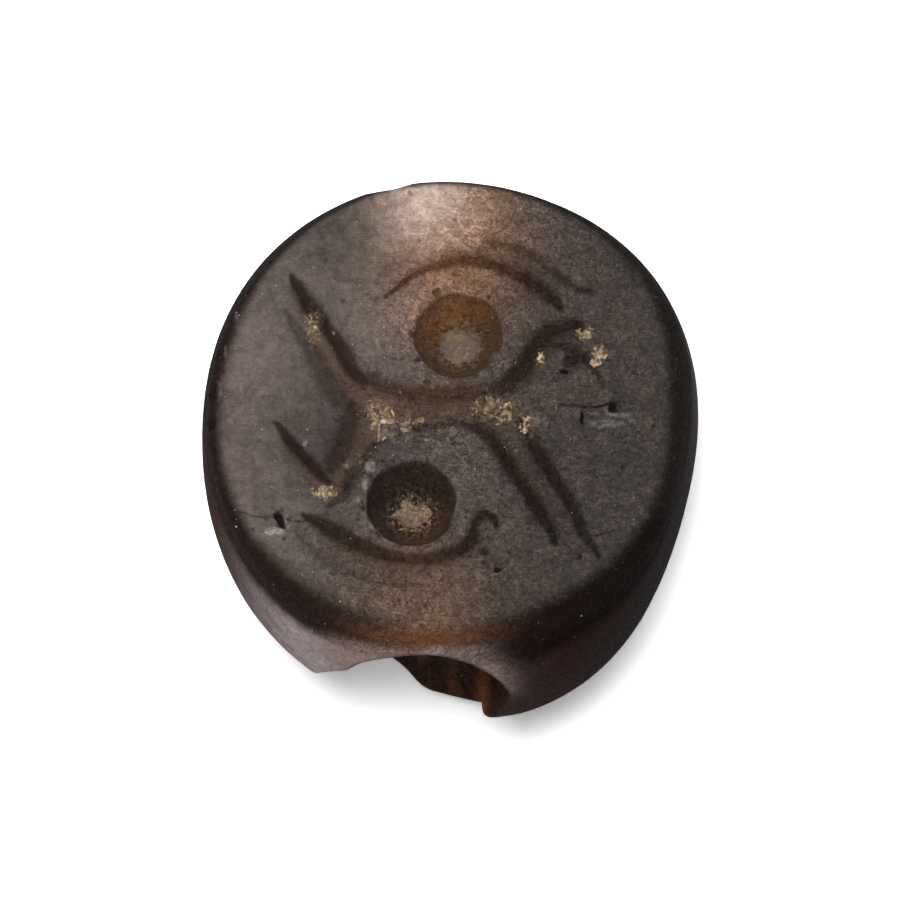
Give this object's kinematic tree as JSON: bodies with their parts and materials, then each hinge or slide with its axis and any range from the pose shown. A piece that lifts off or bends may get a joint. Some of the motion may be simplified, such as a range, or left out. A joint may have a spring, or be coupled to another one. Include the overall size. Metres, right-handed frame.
{
  "type": "seal stamp",
  "caption": "Pierced stone stamp seal: a squat rounded stone with an engraved flat face, domed back and a bore for a cord.",
  "frame": {"origin": "centre of the worn flat on the back, under the middle of the stone, face up", "axes": "+Z out of the engraved face, the bore runs along Y with its chipped mouth towards -Y, +X to the right as seen from that mouth"},
  "size_m": [0.02, 0.0212, 0.012],
  "materials": {
    "stone": "dark smoky agate, frosted by wear, amber where it is thin",
    "crust": "pale sandy earth crust, matt and granular"
  },
  "bodies": {
    "root": {"stone_body": "stone", "crust_upper_cup": "crust", "crust_lower_cup": "crust", "crust_bar_left": "crust", "crust_bar_right": "crust", "crust_limb_upper_left": "crust", "crust_limb_upper_right": "crust", "crust_limb_lower_left": "crust"}
  },
  "joints": []
}
